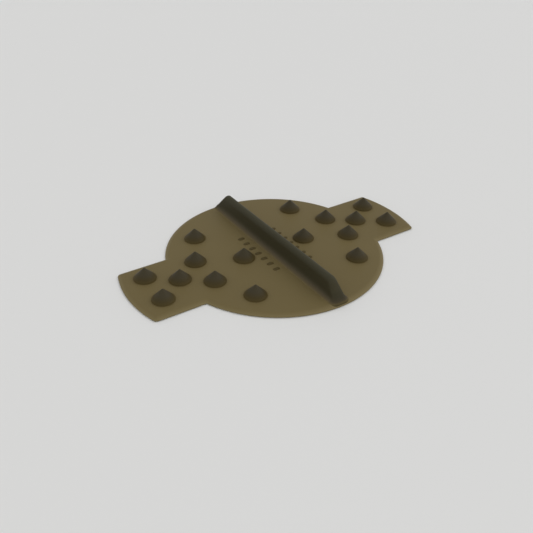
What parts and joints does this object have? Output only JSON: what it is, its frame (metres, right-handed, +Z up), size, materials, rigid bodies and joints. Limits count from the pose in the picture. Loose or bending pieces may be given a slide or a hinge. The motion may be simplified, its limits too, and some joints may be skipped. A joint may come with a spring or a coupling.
{
  "type": "snowboard stomp pad",
  "caption": "Adhesive-backed rubbery traction pad for a board deck: round mat with two side tabs, conical grip studs and a tall central scraper bar.",
  "frame": {"origin": "middle of the adhesive's underside, where the pad meets the deck", "axes": "+X from tab to tab, +Y along the scraper bar, +Z up out of the deck"},
  "size_m": [0.188, 0.13, 0.0137],
  "materials": {
    "mat": "smoky olive-brown moulded TPU, satin",
    "bar": "the same TPU where it is thick and so reads darker, satin",
    "studs": "the same TPU where it is thick and so reads darker, satin",
    "adhesive": "clear acrylic pressure-sensitive adhesive",
    "film": "clear polyester carrier film"
  },
  "bodies": {
    "root": {"base_mat": "mat", "scraper_bar": "bar", "grip_ribs_left": "mat", "grip_ribs_right": "mat", "grip_stud_01": "studs", "grip_stud_02": "studs", "grip_stud_03": "studs", "grip_stud_04": "studs", "grip_stud_05": "studs", "grip_stud_06": "studs", "grip_stud_07": "studs", "grip_stud_08": "studs", "grip_stud_09": "studs", "grip_stud_10": "studs", "grip_stud_11": "studs", "grip_stud_12": "studs", "grip_stud_13": "studs", "grip_stud_14": "studs", "grip_stud_15": "studs", "grip_stud_16": "studs", "adhesive_upper": "adhesive", "carrier_film": "film", "adhesive_lower": "adhesive"}
  },
  "joints": []
}
